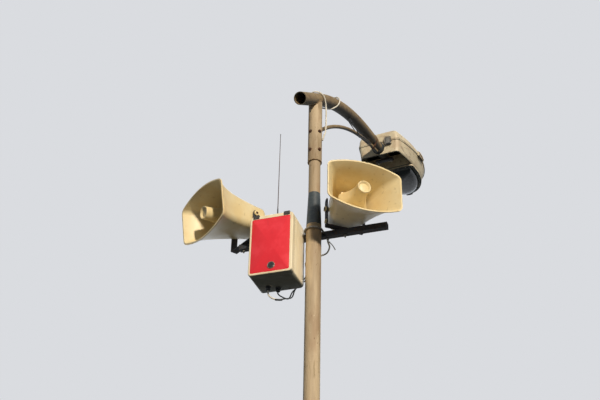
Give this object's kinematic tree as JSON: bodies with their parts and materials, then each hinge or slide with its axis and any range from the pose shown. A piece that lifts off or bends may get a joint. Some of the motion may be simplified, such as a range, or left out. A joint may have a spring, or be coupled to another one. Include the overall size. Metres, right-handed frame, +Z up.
{
  "type": "street-light pole with warning horns and radio receiver",
  "caption": "Steel street-light pole with a curved outreach arm and luminaire, a cross bar with two re-entrant warning horns and a radio receiver box with a whip antenna.",
  "frame": {"origin": "centre of the base flange's underside, on the pole's axis", "axes": "+Z up along the pole, +X along the cross bar to the right, +Y away from the side that the box door faces; the arm reaches out towards +Y"},
  "size_m": [1.1647, 1.8414, 5.4997],
  "materials": {
    "arm_paint": "weathered tan paint on steel tube",
    "black_steel": "black paint",
    "box_enamel": "cream powder coat",
    "galvanised_steel": "dull weathered dark steel",
    "gland_plastic": "moulded polyamide",
    "horn_plastic": "sun-aged cream moulding",
    "joint_wrap": "dark bituminous joint wrap",
    "lamp_enamel": "dirty cream enamel on a casting",
    "lamp_glass": "dusty bowl",
    "lock_metal": "black with a worn bright rim",
    "pole_paint": "weathered tan paint on steel tube",
    "red_film": "plain red vinyl film",
    "whip_steel": "weathered spring steel"
  },
  "bodies": {
    "pole": {"antenna_base": "gland_plastic", "antenna_whip": "whip_steel", "arm_brace": "arm_paint", "arm_sleeve": "arm_paint", "base_flange": "pole_paint", "base_gussets": "pole_paint", "box_bolts": "galvanised_steel", "cable_glands": "gland_plastic", "cross_bar": "galvanised_steel", "hinge_leaves_fixed": "black_steel", "lamp_cover": "lamp_enamel", "lamp_glass": "lamp_glass", "lamp_housing": "lamp_enamel", "left_bracket_bolt": "galvanised_steel", "lower_pole": "pole_paint", "outreach_arm": "arm_paint", "pole_reducer": "joint_wrap", "pole_u_bolt": "galvanised_steel", "receiver_box": "box_enamel", "right_bracket_bolt": "galvanised_steel", "sleeve_set_screws": "galvanised_steel", "u_bolt_nuts": "galvanised_steel", "upper_pole": "pole_paint"},
    "box_door": {"box_cover": "box_enamel", "cover_label": "red_film", "cover_lock": "lock_metal", "hinge_leaves_moving": "black_steel"},
    "right_bracket": {"right_horn_bracket": "galvanised_steel"},
    "right_horn": {"right_horn_bell": "horn_plastic", "right_horn_driver": "horn_plastic", "right_horn_pivots": "galvanised_steel", "right_horn_reflector": "horn_plastic"},
    "left_bracket": {"left_horn_bracket": "galvanised_steel"},
    "left_horn": {"left_horn_bell": "horn_plastic", "left_horn_driver": "horn_plastic", "left_horn_pivots": "galvanised_steel", "left_horn_reflector": "horn_plastic"}
  },
  "joints": [
    {"name": "door_hinge", "type": "hinge", "parent": "pole", "child": "box_door", "pos_m": [-0.17055, -0.11015, 4.236], "axis": [-1, 0, 0], "range_deg": [0, 110]},
    {"name": "right_pan", "type": "hinge", "parent": "pole", "child": "right_bracket", "pos_m": [0.146, 0.05335, 4.202], "axis": [0, 0, 1], "range_deg": [-15, 15]},
    {"name": "right_tilt", "type": "hinge", "parent": "right_bracket", "child": "right_horn", "pos_m": [0.146, 0.05335, 4.3003], "axis": [0.788, 0.6157, 0], "range_deg": [-15, 0]},
    {"name": "left_pan", "type": "hinge", "parent": "pole", "child": "left_bracket", "pos_m": [-0.39, 0.05335, 4.202], "axis": [0, 0, 1], "range_deg": [-45, 10]},
    {"name": "left_tilt", "type": "hinge", "parent": "left_bracket", "child": "left_horn", "pos_m": [-0.39, 0.05335, 4.3443], "axis": [0.809, -0.5878, 0], "range_deg": [-15, 15]}
  ]
}
